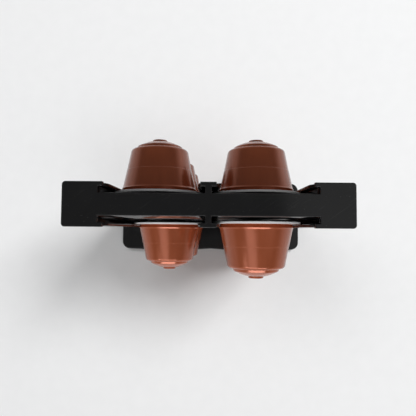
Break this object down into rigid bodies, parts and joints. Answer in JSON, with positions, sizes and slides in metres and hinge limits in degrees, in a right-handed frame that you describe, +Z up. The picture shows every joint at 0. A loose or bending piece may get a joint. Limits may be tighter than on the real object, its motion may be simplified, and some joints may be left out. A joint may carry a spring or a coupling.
{
  "type": "coffee capsule holder",
  "caption": "Free-standing double-sided coffee capsule tower: capsules slide down lipped slots on the front and rear of a hollow rail and stack on a base plate.",
  "frame": {"origin": "on the ground under the middle of the tower", "axes": "+Z up, +X along the width of the tower to the right seen from the front, front at -Y"},
  "size_m": [0.168, 0.0846, 0.1823],
  "materials": {
    "holder_plastic": "satin",
    "cup_plastic": "satin",
    "lid_foil": "satin",
    "foot_rubber": "matte",
    "screw_steel": "satin"
  },
  "bodies": {
    "holder": {"rail_body": "holder_plastic", "top_cap": "holder_plastic", "base_plate": "holder_plastic", "base_screws": "screw_steel", "rubber_feet": "foot_rubber"},
    "capsule_front_left_1": {"front_left_cup_1": "cup_plastic", "front_left_lid_1": "lid_foil"},
    "capsule_front_left_2": {"front_left_cup_2": "cup_plastic", "front_left_lid_2": "lid_foil"},
    "capsule_front_right_1": {"front_right_cup_1": "cup_plastic", "front_right_lid_1": "lid_foil"},
    "capsule_front_right_2": {"front_right_cup_2": "cup_plastic", "front_right_lid_2": "lid_foil"},
    "capsule_front_right_3": {"front_right_cup_3": "cup_plastic", "front_right_lid_3": "lid_foil"},
    "capsule_rear_left_1": {"rear_left_cup_1": "cup_plastic", "rear_left_lid_1": "lid_foil"},
    "capsule_rear_left_2": {"rear_left_cup_2": "cup_plastic", "rear_left_lid_2": "lid_foil"},
    "capsule_rear_left_3": {"rear_left_cup_3": "cup_plastic", "rear_left_lid_3": "lid_foil"},
    "capsule_rear_right_1": {"rear_right_cup_1": "cup_plastic", "rear_right_lid_1": "lid_foil"},
    "capsule_rear_right_2": {"rear_right_cup_2": "cup_plastic", "rear_right_lid_2": "lid_foil"},
    "capsule_rear_right_3": {"rear_right_cup_3": "cup_plastic", "rear_right_lid_3": "lid_foil"}
  },
  "joints": [
    {"name": "capsule_front_left_1_lift", "type": "slide", "parent": "holder", "child": "capsule_front_left_1", "axis": [0, 0, 1], "range_m": [0, 0.1786]},
    {"name": "capsule_front_left_2_lift", "type": "slide", "parent": "capsule_front_left_1", "child": "capsule_front_left_2", "axis": [0, 0, 1], "range_m": [0, 0.1243]},
    {"name": "capsule_front_right_1_lift", "type": "slide", "parent": "holder", "child": "capsule_front_right_1", "axis": [0, 0, 1], "range_m": [0, 0.1786]},
    {"name": "capsule_front_right_2_lift", "type": "slide", "parent": "capsule_front_right_1", "child": "capsule_front_right_2", "axis": [0, 0, 1], "range_m": [0, 0.1243]},
    {"name": "capsule_front_right_3_lift", "type": "slide", "parent": "capsule_front_right_2", "child": "capsule_front_right_3", "axis": [0, 0, 1], "range_m": [0, 0.07]},
    {"name": "capsule_rear_left_1_lift", "type": "slide", "parent": "holder", "child": "capsule_rear_left_1", "axis": [0, 0, 1], "range_m": [0, 0.1786]},
    {"name": "capsule_rear_left_2_lift", "type": "slide", "parent": "capsule_rear_left_1", "child": "capsule_rear_left_2", "axis": [0, 0, 1], "range_m": [0, 0.1243]},
    {"name": "capsule_rear_left_3_lift", "type": "slide", "parent": "capsule_rear_left_2", "child": "capsule_rear_left_3", "axis": [0, 0, 1], "range_m": [0, 0.07]},
    {"name": "capsule_rear_right_1_lift", "type": "slide", "parent": "holder", "child": "capsule_rear_right_1", "axis": [0, 0, 1], "range_m": [0, 0.1786]},
    {"name": "capsule_rear_right_2_lift", "type": "slide", "parent": "capsule_rear_right_1", "child": "capsule_rear_right_2", "axis": [0, 0, 1], "range_m": [0, 0.1243]},
    {"name": "capsule_rear_right_3_lift", "type": "slide", "parent": "capsule_rear_right_2", "child": "capsule_rear_right_3", "axis": [0, 0, 1], "range_m": [0, 0.07]}
  ]
}
